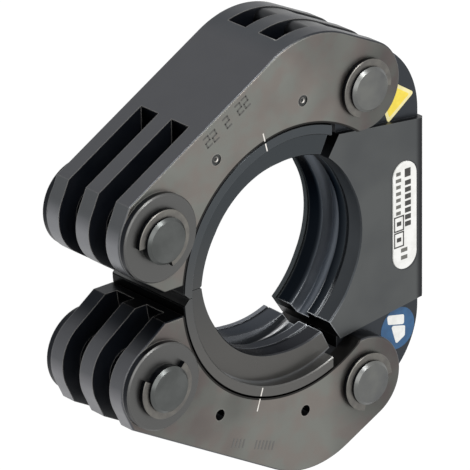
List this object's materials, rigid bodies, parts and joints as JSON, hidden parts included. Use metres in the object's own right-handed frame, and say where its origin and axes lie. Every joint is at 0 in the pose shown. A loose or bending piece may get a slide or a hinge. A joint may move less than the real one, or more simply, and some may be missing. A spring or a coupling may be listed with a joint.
{
  "type": "press collar",
  "caption": "Press collar for tube fittings: two forked jaws with sliding liners, hinged to a bridge block, close into a stepped round press bore.",
  "frame": {"origin": "on the axis of the press bore, halfway through the collar's thickness", "axes": "+Z along the bore axis towards the front face, +X from the bore to the bridge block, +Y towards the upper jaw"},
  "size_m": [0.1126, 0.1284, 0.0406],
  "materials": {
    "jaw_steel": "ground and burnished dark",
    "block_steel": "burnished black, satin",
    "liner_steel": "hardened, burnished black, oiled",
    "pin_steel": "hardened, burnished dark",
    "ring_steel": "phosphated spring steel"
  },
  "bodies": {
    "root": {"bridge_block": "block_steel", "upper_hinge_pin": "pin_steel", "upper_hinge_ring_front": "ring_steel", "upper_hinge_ring_rear": "ring_steel", "lower_hinge_pin": "pin_steel", "lower_hinge_ring_front": "ring_steel", "lower_hinge_ring_rear": "ring_steel"},
    "upper_jaw": {"upper_jaw": "jaw_steel", "upper_hook_pin": "pin_steel", "upper_hook_ring_front": "ring_steel", "upper_hook_ring_rear": "ring_steel", "upper_keeper_1": "pin_steel", "upper_dowel_1": "pin_steel", "upper_keeper_2": "pin_steel", "upper_dowel_2": "pin_steel"},
    "upper_liner": {"upper_liner": "liner_steel"},
    "lower_jaw": {"lower_jaw": "jaw_steel", "lower_hook_pin": "pin_steel", "lower_hook_ring_front": "ring_steel", "lower_hook_ring_rear": "ring_steel", "lower_keeper_1": "pin_steel", "lower_dowel_1": "pin_steel", "lower_keeper_2": "pin_steel", "lower_dowel_2": "pin_steel"},
    "lower_liner": {"lower_liner": "liner_steel"}
  },
  "joints": [
    {"name": "upper_jaw_swing", "type": "hinge", "parent": "root", "child": "upper_jaw", "pos_m": [0.02596, 0.04372, 0], "axis": [0, 0, -1], "range_deg": [0, 28]},
    {"name": "upper_liner_slide", "type": "hinge", "parent": "upper_jaw", "child": "upper_liner", "pos_m": [0, 0, 0], "axis": [0, 0, -1], "range_deg": [0, 1.5]},
    {"name": "lower_jaw_swing", "type": "hinge", "parent": "root", "child": "lower_jaw", "pos_m": [0.02596, -0.04372, 0], "axis": [0, 0, 1], "range_deg": [0, 28]},
    {"name": "lower_liner_slide", "type": "hinge", "parent": "lower_jaw", "child": "lower_liner", "pos_m": [0, 0, 0], "axis": [0, 0, 1], "range_deg": [0, 1.5]}
  ]
}
